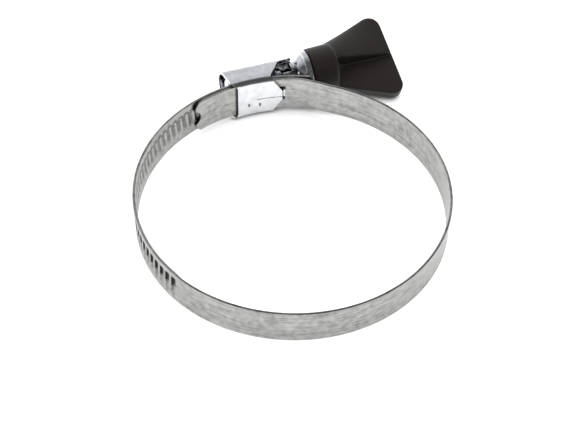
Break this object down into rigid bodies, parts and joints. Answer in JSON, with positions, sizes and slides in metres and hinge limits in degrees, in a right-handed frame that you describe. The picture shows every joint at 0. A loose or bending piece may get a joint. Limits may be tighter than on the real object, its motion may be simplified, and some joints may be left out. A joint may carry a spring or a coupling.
{
  "type": "hose clamp",
  "caption": "Worm-drive band clamp for hoses: a steel band with embossed thread grooves, a folded tunnel housing and a worm screw turned by a plastic wing handle.",
  "frame": {"origin": "centre of the clamped hose, half way along the band's width", "axes": "+Z along the hose, +X along the screw towards its handle, +Y from the hose towards the housing"},
  "size_m": [0.0758, 0.0866, 0.0124],
  "materials": {
    "band_steel": "zinc-plated strip with fine lengthwise rolling lines",
    "housing_plate": "bright zinc plate on a folded sheet",
    "screw_plate": "bright zinc plate",
    "handle_plastic": "moulded satin black"
  },
  "bodies": {
    "housing": {"housing": "housing_plate", "band_fixed_end": "band_steel"},
    "screw": {"worm_screw": "screw_plate", "wing_handle": "handle_plastic"},
    "threaded_end": {"band_threaded_end": "band_steel"},
    "link_1": {"band_link_1": "band_steel"},
    "link_2": {"band_link_2": "band_steel"},
    "link_3": {"band_link_3": "band_steel"},
    "link_4": {"band_link_4": "band_steel"},
    "link_5": {"band_link_5": "band_steel"},
    "link_6": {"band_link_6": "band_steel"}
  },
  "joints": [
    {"name": "screw_turn", "type": "hinge", "parent": "housing", "child": "screw", "pos_m": [0, 0.0402, 0], "axis": [-1, 0, 0], "range_deg": [0, 2880]},
    {"name": "band_feed", "type": "hinge", "parent": "housing", "child": "threaded_end", "pos_m": [0.00168, 0, 0], "axis": [0, 0, -1], "range_deg": [0, 25.04]},
    {"name": "band_bend_1", "type": "hinge", "parent": "housing", "child": "link_1", "pos_m": [0.0225, 0.02681, 0], "axis": [0, 0, -1], "range_deg": [0, 8.54]},
    {"name": "band_bend_2", "type": "hinge", "parent": "link_1", "child": "link_2", "pos_m": [0.03431, 0.00689, 0], "axis": [0, 0, -1], "range_deg": [0, 4.05]},
    {"name": "band_bend_3", "type": "hinge", "parent": "link_2", "child": "link_3", "pos_m": [0.03111, -0.01605, 0], "axis": [0, 0, -1], "range_deg": [0, 1.27]},
    {"name": "band_bend_4", "type": "hinge", "parent": "link_3", "child": "link_4", "pos_m": [0.01427, -0.03196, 0], "axis": [0, 0, -1], "range_deg": [0, 0.95]},
    {"name": "band_bend_5", "type": "hinge", "parent": "link_4", "child": "link_5", "pos_m": [-0.00881, -0.03387, 0], "axis": [0, 0, -1], "range_deg": [0, 3.56]},
    {"name": "band_bend_6", "type": "hinge", "parent": "link_5", "child": "link_6", "pos_m": [-0.02803, -0.02096, 0], "axis": [0, 0, -1], "range_deg": [0, 8.17]}
  ],
  "couplings": [
    {"joint": "band_feed", "follows": "screw_turn", "ratio": 0.0085902},
    {"joint": "band_bend_1", "follows": "screw_turn", "ratio": 0.00286},
    {"joint": "band_bend_2", "follows": "screw_turn", "ratio": 0.0013011},
    {"joint": "band_bend_3", "follows": "screw_turn", "ratio": 0.00033611},
    {"joint": "band_bend_4", "follows": "screw_turn", "ratio": 0.000225},
    {"joint": "band_bend_5", "follows": "screw_turn", "ratio": 0.0011306},
    {"joint": "band_bend_6", "follows": "screw_turn", "ratio": 0.0027328}
  ]
}
